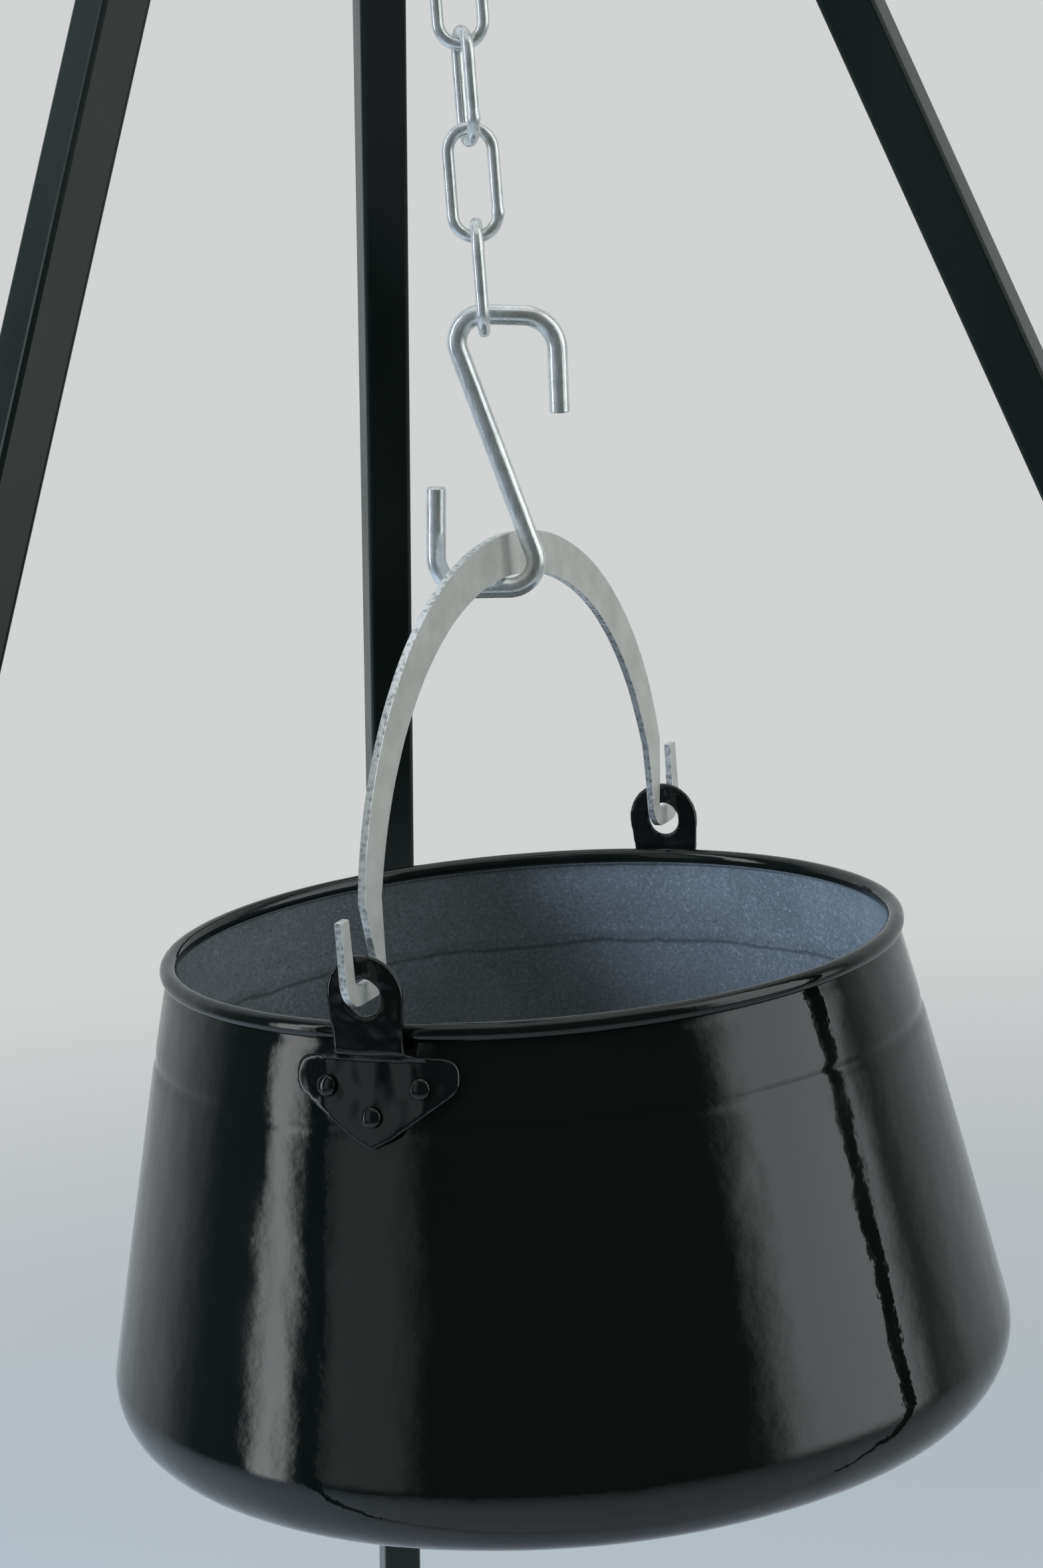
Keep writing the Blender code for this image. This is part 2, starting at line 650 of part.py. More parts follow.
clear_scene()
parts = new_collection("campfire_tripod")
cutters = new_collection("cutters")
MATERIALS = {
    "paint": material("black_paint", (0.012, 0.016, 0.015), 0.28, 0.0),
    "foot": material("black_plastic", (0.02, 0.02, 0.02), 0.55, 0.0),
    "zinc": material("zinc_plate", (0.62, 0.65, 0.68), 0.25, 1.0),
    "galvanised": material("galvanised_strip", (0.66, 0.67, 0.66), 0.45, 1.0),
    "enamel": material("black_enamel", (0.008, 0.009, 0.010), 0.08, 0.0),
}
ground_box = add_cutter("ground", box_mesh("ground", (-1, -1, -0.2), (1, 1, 0)))
for leg_side in LEGS:
    make_leg(leg_side, leg_pivot(leg_side), MATERIALS["paint"], ground_box)
    make_pivot_fasteners(leg_side)
make_hub()
make_eye()
make_chain()
make_hook()
make_bail()
make_kettle(empty("pivot_kettle", turned_about_z(CHAIN_X, CHAIN_Y, KETTLE_PIVOT_Z, BAIL_TURN)))
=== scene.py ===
"""Campfire tripod with a chain, an S-hook and a hanging enamelled kettle.

Finer shapes, materials and light around the CAD frame, in metres.
"""
import json
import math

import bmesh
import bpy
from mathutils import Matrix, Vector, noise


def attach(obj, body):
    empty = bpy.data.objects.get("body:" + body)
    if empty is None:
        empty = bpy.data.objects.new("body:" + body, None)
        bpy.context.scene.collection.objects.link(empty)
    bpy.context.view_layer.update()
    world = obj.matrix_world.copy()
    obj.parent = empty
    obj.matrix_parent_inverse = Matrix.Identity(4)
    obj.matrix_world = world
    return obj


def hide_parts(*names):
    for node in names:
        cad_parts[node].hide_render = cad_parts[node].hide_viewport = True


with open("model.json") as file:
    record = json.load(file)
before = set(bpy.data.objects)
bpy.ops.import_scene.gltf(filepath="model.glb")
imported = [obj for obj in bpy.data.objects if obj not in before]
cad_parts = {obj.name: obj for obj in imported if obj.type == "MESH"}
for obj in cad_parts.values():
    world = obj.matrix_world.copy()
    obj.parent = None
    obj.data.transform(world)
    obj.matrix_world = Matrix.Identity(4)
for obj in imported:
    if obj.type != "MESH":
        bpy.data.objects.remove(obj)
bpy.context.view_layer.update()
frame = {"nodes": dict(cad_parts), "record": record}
JOINTS = {joint["name"]: joint for joint in frame["record"]["behaviour"]["joints"]}

# The tripod's axis stands between its two front legs.
HUB_Y = sum(JOINTS[f"leg_{side}_fold"]["pos_m"][1] for side in ("back", "left", "right")) / 3
GAP = 0.0003
LINK_WIRE = 0.0024
LINK_SPAN = 0.04185
LINK_BEND = 0.0088
LINK_TWIST = {9: math.radians(15.0)}
EYE_WIRE = 0.003
HOOK_WIRE = 0.004
HOOK_HALF_HEIGHT = 0.054
HOOK_OFFSET = 0.0010

# Kettle, measured from the centre of the rim's bead
EAR_LIFT = 0.0155
RIM_RADIUS = 0.1465
BEAD_RADIUS = 0.0036
WALL = 0.002
COLLAR_TOP = (0.1479, -0.0033)
COLLAR_CREASE = (0.1563, -0.0390)
BELLY_END = (0.1830, -0.1613)
SHOULDER_RADIUS = 0.0274
BOTTOM_RADIUS = 0.411
TURN_STEPS = 256                 # corners around the bowl
COLLAR_STEPS = 28
SIDE_STEPS = 22
BEAD_STEPS = 22
STEEP_NORMAL = 50.0              # degrees above which an enamel edge stays sharp

BAIL_RISE = 0.1395
BAIL_WIDTH = 0.017
BAIL_THICKNESS = 0.003
BAIL_HALVES = {"far": (0.1495, 2.1, 0.1435), "near": (0.1475, 2.0, 0.1405)}
BAIL_THROUGH = 0.002
BAIL_TIP = 0.167
BAIL_TIP_HEIGHT = 0.0315


# ---------------------------------------------------------------- shader helpers

class Shader:
    """A material and short calls for the nodes that these finishes use."""

    def __init__(self, name, colour, roughness, metallic=0.0):
        self.material = bpy.data.materials.new(name)
        self.material.use_nodes = True
        self.tree = self.material.node_tree
        self.principled = self.tree.nodes["Principled BSDF"]
        self.set("Base Color", (*colour, 1.0))
        self.set("Roughness", roughness)
        self.set("Metallic", metallic)
        self.coordinates = self.tree.nodes.new("ShaderNodeTexCoord").outputs["Object"]

    def set(self, socket, value):
        self.principled.inputs[socket].default_value = value

    def node(self, kind, **values):
        node = self.tree.nodes.new(kind)
        for name, value in values.items():
            setattr(node, name, value)
        return node

    def link(self, output, target):
        self.tree.links.new(output, target)

    def stretched(self, scale):
        mapping = self.node("ShaderNodeMapping")
        mapping.inputs["Scale"].default_value = scale
        self.link(self.coordinates, mapping.inputs["Vector"])
        return mapping.outputs["Vector"]

    def noise(self, scale, detail=2.0, rough=0.5, vector=None):
        node = self.node("ShaderNodeTexNoise")
        node.inputs["Scale"].default_value = scale
        node.inputs["Detail"].default_value = detail
        node.inputs["Roughness"].default_value = rough
        self.link(vector or self.coordinates, node.inputs["Vector"])
        return node.outputs["Fac"]

    def cells(self, scale):
        node = self.node("ShaderNodeTexVoronoi")
        node.inputs["Scale"].default_value = scale
        self.link(self.coordinates, node.inputs["Vector"])
        return node.outputs["Distance"]

    def ramp(self, factor, stops):
        node = self.node("ShaderNodeValToRGB")
        elements = node.color_ramp.elements
        while len(elements) < len(stops):
            elements.new(0.5)
        for element, (position, colour) in zip(elements, stops):
            element.position = position
            element.color = (*colour, 1.0) if isinstance(colour, tuple) else (colour, colour, colour, 1.0)
        self.link(factor, node.inputs["Fac"])
        return node.outputs["Color"]

    def spread(self, factor, low, high, from_low=0.35, from_high=0.65):
        node = self.node("ShaderNodeMapRange")
        for name, value in (("From Min", from_low), ("From Max", from_high),
                            ("To Min", low), ("To Max", high)):
            node.inputs[name].default_value = value
        self.link(factor, node.inputs["Value"])
        return node.outputs["Result"]

    def maths(self, operation, a, b):
        node = self.node("ShaderNodeMath", operation=operation)
        for socket, value in zip(node.inputs, (a, b)):
            if isinstance(value, (int, float)):
                socket.default_value = value
            else:
                self.link(value, socket)
        return node.outputs["Value"]

    def mix(self, factor, a, b):
        node = self.node("ShaderNodeMix", data_type="RGBA")
        for socket, value in ((node.inputs[0], factor), (node.inputs[6], a), (node.inputs[7], b)):
            if isinstance(value, (int, float)):
                socket.default_value = value
            elif isinstance(value, tuple):
                socket.default_value = (*value, 1.0)
            else:
                self.link(value, socket)
        return node.outputs[2]

    def bump(self, height, strength, distance=0.001, below=None):
        node = self.node("ShaderNodeBump")
        node.inputs["Strength"].default_value = strength
        node.inputs["Distance"].default_value = distance
        self.link(height, node.inputs["Height"])
        if below is not None:
            self.link(below, node.inputs["Normal"])
        return node.outputs["Normal"]

    def use(self, socket, output):
        self.link(output, self.principled.inputs[socket])


# ---------------------------------------------------------------- finishes

def black_enamel():
    """Thick black glass enamel: flow waves, small dimples and a few dull smudges."""
    s = Shader("black_enamel", (0.0032, 0.0044, 0.0038), 0.06)
    s.set("IOR", 1.53)
    smudge = s.noise(14.0, 4.0, 0.6)
    s.use("Roughness", s.spread(smudge, 0.035, 0.14, 0.45, 0.75))
    waves = s.noise(34.0, 2.0, 0.4, s.stretched((1.0, 1.0, 0.6)))
    ripples = s.noise(120.0, 2.0, 0.5, s.stretched((0.7, 0.7, 1.2)))
    below = s.bump(ripples, 0.10, 0.001, s.bump(waves, 0.34, 0.002))
    s.use("Normal", s.bump(s.noise(300.0, 2.0, 0.5), 0.08, 0.0004, below))
    return s.material


def lumpy_enamel():
    """The same black enamel where it lies thick and uneven over the ears."""
    s = Shader("lumpy_enamel", (0.0035, 0.0045, 0.0045), 0.07)
    s.set("IOR", 1.53)
    lumps = s.noise(80.0, 1.0, 0.4)
    s.use("Normal", s.bump(s.noise(300.0, 1.0, 0.4), 0.06, 0.0004, s.bump(lumps, 0.55, 0.0022)))
    return s.material


def speckled_enamel():
    """Grey-blue enamel inside the kettle, with fine light and dark specks, and painted shade: the colour
    darkens in a thin band along the crease about 40 mm below the rim.
    """
    s = Shader("speckled_enamel", (0.25, 0.28, 0.30), 0.30)
    s.set("IOR", 1.50)
    cloud = s.noise(22.0, 4.0, 0.6)
    base = s.ramp(cloud, [(0.30, (0.128, 0.150, 0.156)), (0.70, (0.185, 0.208, 0.224))])
    grain = s.noise(620.0, 3.0, 0.7)
    light = s.spread(grain, 0.0, 0.55, 0.52, 0.72)
    speckled = s.mix(light, base, (0.40, 0.43, 0.48))
    dark = s.spread(s.noise(880.0, 2.0, 0.6), 0.55, 0.0, 0.30, 0.46)
    speckled = s.mix(dark, speckled, (0.050, 0.060, 0.070))
    # Painted shade: a thin, slightly wavering dark band along the inner crease, about 40 mm below the rim,
    # stands in for the shade that falls in the crease.
    parts = s.node("ShaderNodeSeparateXYZ")
    s.link(s.coordinates, parts.inputs[0])
    wander = s.spread(s.noise(26.0, 3.0, 0.6), -0.0012, 0.0012)
    height = s.maths("ADD", parts.outputs["Z"], wander)
    away = s.maths("ABSOLUTE", s.maths("ADD", height, 0.0400), 0.0)
    crease = s.spread(away, 0.62, 0.0, 0.0003, 0.0014)
    # The base colour takes the painted crease shade here, mixed towards dark grey.
    s.use("Base Color", s.mix(crease, speckled, (0.045, 0.055, 0.055)))
    s.use("Roughness", s.spread(grain, 0.22, 0.42))
    s.use("Normal", s.bump(grain, 0.12, 0.0004, s.bump(s.noise(60.0, 2.0), 0.15, 0.0015)))
    return s.material


def zinc_plate():
    """Bright zinc over drawn wire: soft mottling and fine scratches."""
    rough = 0.24
    s = Shader("zinc_plate", (0.62, 0.65, 0.68), rough, 0.80)
    mottle = s.noise(180.0, 3.0, 0.6)
    s.use("Base Color", s.ramp(mottle, [(0.30, (0.70, 0.72, 0.71)), (0.62, (0.88, 0.89, 0.88))]))
    scratches = s.noise(700.0, 2.0, 0.5, s.stretched((1.0, 1.0, 0.15)))
    s.use("Roughness", s.spread(scratches, rough - 0.06, rough + 0.10))
    s.use("Normal", s.bump(scratches, 0.05, 0.0003, s.bump(s.noise(90.0, 2.0), 0.18, 0.001)))
    return s.material


def galvanised_strip():
    """Matte hot-dipped strip: faint rolled grain and cloudy patches."""
    s = Shader("galvanised_strip", (0.54, 0.54, 0.52), 0.46, 0.5)
    cloud = s.noise(60.0, 4.0, 0.6)
    s.use("Base Color", s.ramp(cloud, [(0.32, (0.47, 0.47, 0.44)), (0.66, (0.58, 0.58, 0.55))]))
    grain = s.noise(1200.0, 2.0, 0.6)
    s.use("Roughness", s.spread(grain, 0.38, 0.56))
    s.use("Normal", s.bump(grain, 0.10, 0.0003, s.bump(s.noise(45.0, 2.0), 0.10, 0.0015)))
    return s.material


def sheared_edge():
    """The strip's hammered, sheared edge: rough, with bright and dark facets."""
    s = Shader("sheared_edge", (0.60, 0.62, 0.62), 0.34, 0.8)
    facets = s.cells(420.0)
    s.use("Base Color", s.ramp(facets, [(0.15, (0.46, 0.47, 0.46)), (0.55, (0.84, 0.86, 0.86))]))
    s.use("Normal", s.bump(facets, 0.30, 0.0008, s.bump(s.noise(700.0, 3.0, 0.7), 0.20, 0.0005)))
    return s.material


def black_paint():
    """Glossy black paint on drawn tube, very slightly green, with a faint orange peel."""
    s = Shader("black_paint", (0.0065, 0.0105, 0.0090), 0.24)
    s.set("Specular IOR Level", 0.26)
    cloud = s.noise(9.0, 3.0, 0.6, s.stretched((1.0, 1.0, 0.3)))
    s.use("Roughness", s.spread(cloud, 0.18, 0.34))
    s.use("Base Color", s.ramp(cloud, [(0.35, (0.0055, 0.0090, 0.0078)), (0.70, (0.0100, 0.0145, 0.0125))]))
    peel = s.noise(340.0, 2.0, 0.5)
    s.use("Normal", s.bump(peel, 0.06, 0.0004, s.bump(s.noise(40.0, 2.0), 0.10, 0.001)))
    return s.material


def black_plastic():
    s = Shader("black_plastic", (0.018, 0.018, 0.018), 0.55)
    grain = s.noise(1500.0, 2.0, 0.6)
    scuffs = s.noise(70.0, 4.0, 0.7)
    s.use("Base Color", s.ramp(scuffs, [(0.45, (0.014, 0.014, 0.014)), (0.75, (0.040, 0.040, 0.038))]))
    s.use("Roughness", s.spread(grain, 0.45, 0.68))
    s.use("Normal", s.bump(grain, 0.25, 0.0003))
    return s.material


# ---------------------------------------------------------------- mesh helpers

def arc(centre, radius, start, end, count):
    points = []
    for i in range(count + 1):
        angle = math.radians(start + (end - start) * i / count)
        points.append((centre[0] + radius * math.cos(angle), centre[1] + radius * math.sin(angle)))
    return points


def rounded_path(corners, segments=6):
    """Turn corners (x, y, radius) into an open path with round corners."""
    points = []
    for i, (x, y, radius) in enumerate(corners):
        if not radius:
            points.append((x, y))
            continue
        corner = Vector((x, y))
        back = (Vector(corners[i - 1][:2]) - corner).normalized()
        ahead = (Vector(corners[i + 1][:2]) - corner).normalized()
        half = back.angle(ahead) / 2
        centre = corner + (back + ahead).normalized() * radius / math.sin(half)
        first = corner + back * radius / math.tan(half) - centre
        last = corner + ahead * radius / math.tan(half) - centre
        sweep = first.angle_signed(last)
        for step in range(segments + 1):
            points.append(tuple(centre + Matrix.Rotation(-sweep * step / segments, 2) @ first))
    return points


def evenly(points, spacing, closed=False):
    """Resample a path of (x, z) points at about even spacing."""
    line = [Vector(p) for p in points] + ([Vector(points[0])] if closed else [])
    lengths = [(b - a).length for a, b in zip(line, line[1:])]
    total = sum(lengths)
    count = max(2, round(total / spacing))
    result = []
    for i in range(count if closed else count + 1):
        target = total * i / count
        index = 0
        while index < len(lengths) - 1 and target > lengths[index]:
            target -= lengths[index]
            index += 1
        share = min(target / lengths[index], 1.0)
        result.append(tuple(line[index].lerp(line[index + 1], share)))
    return result


def wire_mesh(name, points, radius, closed, around=24, swell=None):
    """A round wire along points (x, z); swell(share) widens it, and open ends are chamfered."""
    bm = bmesh.new()
    count = len(points)
    rings = []
    for i, (x, z) in enumerate(points):
        before = Vector(points[i - 1] if closed or i else points[0])
        after = Vector(points[(i + 1) % count] if closed or i < count - 1 else points[-1])
        along = (after - before).normalized()
        across = Vector((along.y, 0.0, -along.x))
        size = radius * (1.0 + (swell(i / count) if swell else 0.0))
        rings.append(wire_ring(bm, Vector((x, 0.0, z)), across, size, around))
    if not closed:
        rings = capped(bm, points, rings, radius)
    pairs = list(zip(rings, rings[1:])) + ([(rings[-1], rings[0])] if closed else [])
    for a, b in pairs:
        for j in range(around):
            bm.faces.new((a[j], a[(j + 1) % around], b[(j + 1) % around], b[j]))
    if not closed:
        bm.faces.new(list(reversed(rings[0])))
        bm.faces.new(rings[-1])
    bmesh.ops.recalc_face_normals(bm, faces=bm.faces)
    return smooth_mesh(bm, name, 40.0)


def wire_ring(bm, centre, across, radius, around):
    ring = []
    for j in range(around):
        angle = math.tau * j / around
        offset = across * math.cos(angle) + Vector((0, 1, 0)) * math.sin(angle)
        ring.append(bm.verts.new(centre + offset * radius))
    return ring


def capped(bm, points, rings, radius):
    """Add a small chamfer ring inside each open end of the wire."""
    chamfer = radius * 0.16
    ends = []
    for ring, point, inward in ((rings[0], points[0], points[1]), (rings[-1], points[-1], points[-2])):
        end = Vector((point[0], 0.0, point[1]))
        back = (Vector((inward[0], 0.0, inward[1])) - end).normalized()
        small = [bm.verts.new(end + (v.co - end) * (1 - chamfer / radius)) for v in ring]
        for v in ring:
            v.co += back * chamfer
        ends.append(small)
    return [ends[0]] + rings + [ends[1]]


def smooth_mesh(bm, name, angle):
    mesh = bpy.data.meshes.new(name)
    bm.to_mesh(mesh)
    bm.free()
    mesh.shade_smooth()
    mesh.set_sharp_from_angle(angle=math.radians(angle))
    return mesh


def add_piece(name, mesh, body, node, materials, matrix=None):
    """Place a finer piece in the node's stead and let it ride on the body."""
    piece = bpy.data.objects.new(name, mesh)
    for material in materials:
        mesh.materials.append(material)
    piece.matrix_world = matrix or Matrix.Identity(4)
    bpy.context.scene.collection.objects.link(piece)
    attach(piece, body)
    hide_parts(node)
    return piece


def plane_frame(position, direction, turn=0.0):
    """A frame at position whose X lies along the horizontal direction, turned further about Z."""
    angle = math.atan2(direction[1], direction[0]) + turn
    return Matrix.Translation(position) @ Matrix.Rotation(angle, 4, "Z")


# ---------------------------------------------------------------- chain, eye and hook

def link_path():
    low = LINK_BEND - LINK_SPAN
    ends = arc((0, -LINK_BEND), LINK_BEND, 0, 180, 24) + arc((0, low), LINK_BEND, 180, 360, 24)
    return evenly(ends, 0.0009, closed=True)


def weld_swell(hand):
    """A weld's bead in the middle of one long side, with a small nick on each side of it."""
    middle = 0.998 if hand > 0 else 0.5

    def swell(share):
        away = min(abs(share - middle), 1.0 - abs(share - middle)) * 0.108
        bead = 0.13 * math.exp(-(away / 0.0016) ** 2)
        return bead - 0.06 * math.exp(-((away - 0.0034) / 0.0008) ** 2)
    return swell


def make_links(zinc):
    for number in range(1, 12):
        joint = JOINTS[f"link_{number:02d}_swing"]
        above = EYE_WIRE if number == 1 else LINK_WIRE
        x, y, z = joint["pos_m"]
        along = (-joint["axis"][1], joint["axis"][0])
        if along[1] < 0:
            along = (-along[0], -along[1])
        place = plane_frame((x, y, z + above + LINK_WIRE + GAP), along, LINK_TWIST.get(number, 0.0))
        hand = -1 if number % 4 in (1, 2) else 1
        mesh = wire_mesh("link", link_path(), LINK_WIRE, True, 20, weld_swell(hand))
        node = f"chain_link_{number:02d}"
        add_piece(f"welded_link_{number:02d}", mesh, f"link_{number:02d}", node, [zinc], place)


def make_hook(zinc):
    top = HOOK_HALF_HEIGHT
    upper = [(0.0260, 0.0135, 0), (0.0274, top - 0.0029, 0.0135), (-0.0160, top + 0.0015, 0.0105)]
    lower = [(0.0160, -top - 0.0009, 0.0105), (-0.0280, -top + 0.0015, 0.013), (-0.0248, -0.0120, 0)]
    path = evenly(rounded_path(upper + lower, 24), 0.0012)
    joint = JOINTS["hook_swing"]
    bail = JOINTS["bail_swing"]
    x, y, z = bail["pos_m"]
    place = plane_frame((x, y, z + top), bail["axis"]) @ Matrix.Translation((HOOK_OFFSET, 0, 0))
    mesh = wire_mesh("hook", path, HOOK_WIRE, False, 32)
    add_piece("bent_hook", mesh, joint["child"], "s_hook", [zinc], place)


# ---------------------------------------------------------------- kettle

def belly_and_bottom(inset):
    slope = math.atan2(BELLY_END[0] - COLLAR_CREASE[0], COLLAR_CREASE[1] - BELLY_END[1])
    radius = SHOULDER_RADIUS
    centre = (BELLY_END[0] - radius * math.cos(slope), BELLY_END[1] - radius * math.sin(slope))
    dome_z = centre[1] + math.sqrt((BOTTOM_RADIUS - radius) ** 2 - centre[0] ** 2)
    join = math.atan2(centre[1] - dome_z, centre[0])
    shoulder = arc(centre, radius - inset, math.degrees(slope), math.degrees(join), 20)
    dome = arc((0, dome_z), BOTTOM_RADIUS - inset, math.degrees(join), -90, 14)
    dome[-1] = (0.0, dome[-1][1])
    return shoulder + dome[1:]


def collar(inset):
    """The collar, drawn in a little just under the rim and just above the crease at its foot."""
    points = []
    for i in range(COLLAR_STEPS + 1):
        share = i / COLLAR_STEPS
        radius = COLLAR_TOP[0] + share * (COLLAR_CREASE[0] - COLLAR_TOP[0]) - inset
        neck = 0.0007 * math.exp(-(share / 0.08) ** 2)
        foot = 0.0006 * math.exp(-((share - 0.90) / 0.07) ** 2)
        radius -= (neck + foot) * (1 - inset / WALL * 0.5)
        points.append((radius, COLLAR_TOP[1] + share * (COLLAR_CREASE[1] - COLLAR_TOP[1])))
    return points


def cone(inset):
    """The straight side below the crease, with its points closer together near the crease."""
    points = []
    for i in range(1, SIDE_STEPS + 1):
        share = (i / SIDE_STEPS) ** 1.4
        radius = COLLAR_CREASE[0] + share * (BELLY_END[0] - COLLAR_CREASE[0]) - inset
        z = COLLAR_CREASE[1] + share * (BELLY_END[1] - COLLAR_CREASE[1])
        points.append((radius, z))
    return points


def kettle_profile():
    """Points (radius, height, inside) from the middle of the bottom inside to the bottom outside."""
    inner = collar(WALL) + cone(WALL) + belly_and_bottom(WALL)[1:]
    outer = collar(0.0) + cone(0.0) + belly_and_bottom(0.0)[1:]
    bead = arc((RIM_RADIUS, 0), BEAD_RADIUS, 252, -60, BEAD_STEPS)
    profile = [(r, z, 1) for r, z in reversed(inner)]
    profile += [(r, z, 1 if i < 4 else 0) for i, (r, z) in enumerate(bead)]
    profile += [(r, z, 0) for r, z in outer]
    return profile


def wobble(angle, z, r):
    """Hand-made unevenness of the sheet, in metres."""
    spot = Vector((math.cos(angle) * 2.2, math.sin(angle) * 2.2, z * 9.0))
    fine = Vector((math.cos(angle) * 9.0, math.sin(angle) * 9.0, z * 22.0))
    return (0.00035 * noise.noise(spot) + 0.00006 * noise.noise(fine)) * min(r / 0.14, 1.0)


def make_kettle(outside, inside):
    joint = JOINTS["kettle_tip"]
    x, y, z = joint["pos_m"]
    place = plane_frame((x, y, z - EAR_LIFT), joint["axis"])
    profile = kettle_profile()
    bm = bmesh.new()
    rows = []
    for radius, height, _ in profile:
        if radius < 1e-6:
            rows.append([bm.verts.new((0, 0, height))])
            continue
        row = []
        for j in range(TURN_STEPS):
            angle = math.tau * j / TURN_STEPS
            r = radius + wobble(angle, height, radius)
            row.append(bm.verts.new((r * math.cos(angle), r * math.sin(angle), height)))
        rows.append(row)
    for i in range(len(rows) - 1):
        finish = min(profile[i][2], profile[i + 1][2])
        join_rows(bm, rows[i], rows[i + 1], finish)
    bmesh.ops.recalc_face_normals(bm, faces=bm.faces)
    mesh = smooth_mesh(bm, "enamelled_kettle", STEEP_NORMAL)
    add_piece("enamelled_kettle", mesh, joint["child"], "kettle", [outside, inside], place)


def join_rows(bm, a, b, finish):
    for j in range(TURN_STEPS):
        k = (j + 1) % TURN_STEPS
        if len(a) == 1:
            face = bm.faces.new((a[0], b[k], b[j]))
        elif len(b) == 1:
            face = bm.faces.new((a[j], a[k], b[0]))
        else:
            face = bm.faces.new((a[j], a[k], b[k], b[j]))
        face.material_index = finish


def sink_inner_head(mesh):
    """Press a rivet's inner head into the wall: the enamel inside covers it smoothly."""
    x, y, z = JOINTS["kettle_tip"]["pos_m"]
    slope = (COLLAR_CREASE[0] - COLLAR_TOP[0]) / (COLLAR_TOP[1] - COLLAR_CREASE[1])
    top = z - EAR_LIFT + COLLAR_TOP[1]
    for vertex in mesh.vertices:
        out = Vector((vertex.co.x - x, vertex.co.y - y))
        least = COLLAR_TOP[0] + (top - vertex.co.z) * slope - WALL * 0.7
        if out.length < least:
            out = out.normalized() * least
            vertex.co.x, vertex.co.y = x + out.x, y + out.y


def make_ears(enamel):
    """The ears and rivets under their thick enamel, which rounds every edge."""
    for side in ("near", "far"):
        for name in (f"ear_{side}", f"rivet_{side}_left", f"rivet_{side}_right", f"rivet_{side}_low"):
            ear = name.startswith("ear")
            mesh = frame["nodes"][name].data.copy()
            mesh.materials.clear()
            if not ear:
                sink_inner_head(mesh)
            piece = add_piece(f"enamelled_{name}", mesh, "kettle", name, [enamel])
            remesh = piece.modifiers.new("remesh", "REMESH")
            remesh.mode = "VOXEL"
            remesh.voxel_size = 0.0007 if ear else 0.0005
            remesh.use_smooth_shade = True
            soften = piece.modifiers.new("soften", "SMOOTH")
            soften.factor = 0.5
            soften.iterations = 14 if ear else 12


# ---------------------------------------------------------------- bail

def bail_half(half_span, roundness, side):
    """Half of the arch, from its top to the turned-up tip: x, height and the strip's half width."""
    power = 2 / roundness
    points = []
    for i in range(40):
        angle = math.radians(90 - i * 76 / 39)
        x = half_span * math.cos(angle) ** power if i else 0.0
        points.append((x, BAIL_RISE * math.sin(angle) ** power, BAIL_WIDTH / 2 - 0.0012 * (i / 39) ** 6))
    points.append((side + 0.001, 0.0185, 0.0050))
    end = rounded_path([(side, 0.0105, 0), (side, BAIL_THROUGH, 0.006), (BAIL_TIP, BAIL_THROUGH, 0.007),
                        (BAIL_TIP + 0.0005, BAIL_TIP_HEIGHT, 0)], 10)
    points += [(x, z, 0.0038) for x, z in end]
    points[-1] = (*end[-1], 0.0033)
    return points


def bail_stations():
    far = bail_half(*BAIL_HALVES["far"])
    near = [(-x, z, half) for x, z, half in bail_half(*BAIL_HALVES["near"])]
    return list(reversed(near)) + far[1:]


def make_bail(face_finish, edge_finish):
    """The strip as a ladder of four-cornered sections, its sheared edges wavy from the hammer."""
    joint = JOINTS["bail_swing"]
    kettle = JOINTS["kettle_tip"]
    place = plane_frame(kettle["pos_m"], kettle["axis"])
    line = bail_stations()
    bm = bmesh.new()
    rings = []
    for i, (x, z, half) in enumerate(line):
        before = Vector(line[max(i - 1, 0)][:2])
        after = Vector(line[min(i + 1, len(line) - 1)][:2])
        along = (after - before).normalized()
        side = Vector((-along.y, along.x))
        jog = 0.00018 * noise.noise(Vector((x * 90, z * 90, 0.5)))
        ring = []
        for edge, depth in ((1, -1), (1, 1), (-1, 1), (-1, -1)):
            spot = Vector((x, z)) + side * (half * edge + jog)
            ring.append(bm.verts.new((spot.x, depth * BAIL_THICKNESS / 2, spot.y)))
        rings.append(ring)
    for a, b in zip(rings, rings[1:]):
        for j in range(4):
            face = bm.faces.new((a[j], a[(j + 1) % 4], b[(j + 1) % 4], b[j]))
            face.material_index = 1 if j in (0, 2) else 0
    for ring in (list(reversed(rings[0])), rings[-1]):
        bm.faces.new(ring).material_index = 1
    bmesh.ops.recalc_face_normals(bm, faces=bm.faces)
    mesh = smooth_mesh(bm, "bail", 40.0)
    bail = add_piece("bent_bail", mesh, joint["child"], "bail",
                     [face_finish, edge_finish], place)
    soften_edges(bail, 0.0003, 1)


# ---------------------------------------------------------------- tripod

def soften_edges(obj, width, segments=2):
    bevel = obj.modifiers.new("soft_edges", "BEVEL")
    bevel.width = width
    bevel.segments = segments
    bevel.limit_method = "ANGLE"
    bevel.angle_limit = math.radians(35)
    bevel.harden_normals = True


def finish_nodes(names, material, width):
    """Keep the CAD shape: give it its finish and softened edges."""
    for name in names:
        node = frame["nodes"][name]
        node.data.materials.clear()
        node.data.materials.append(material)
        node.data.shade_smooth()
        node.data.set_sharp_from_angle(angle=math.radians(32))
        if width:
            soften_edges(node, width)


# ---------------------------------------------------------------- camera, light and floor

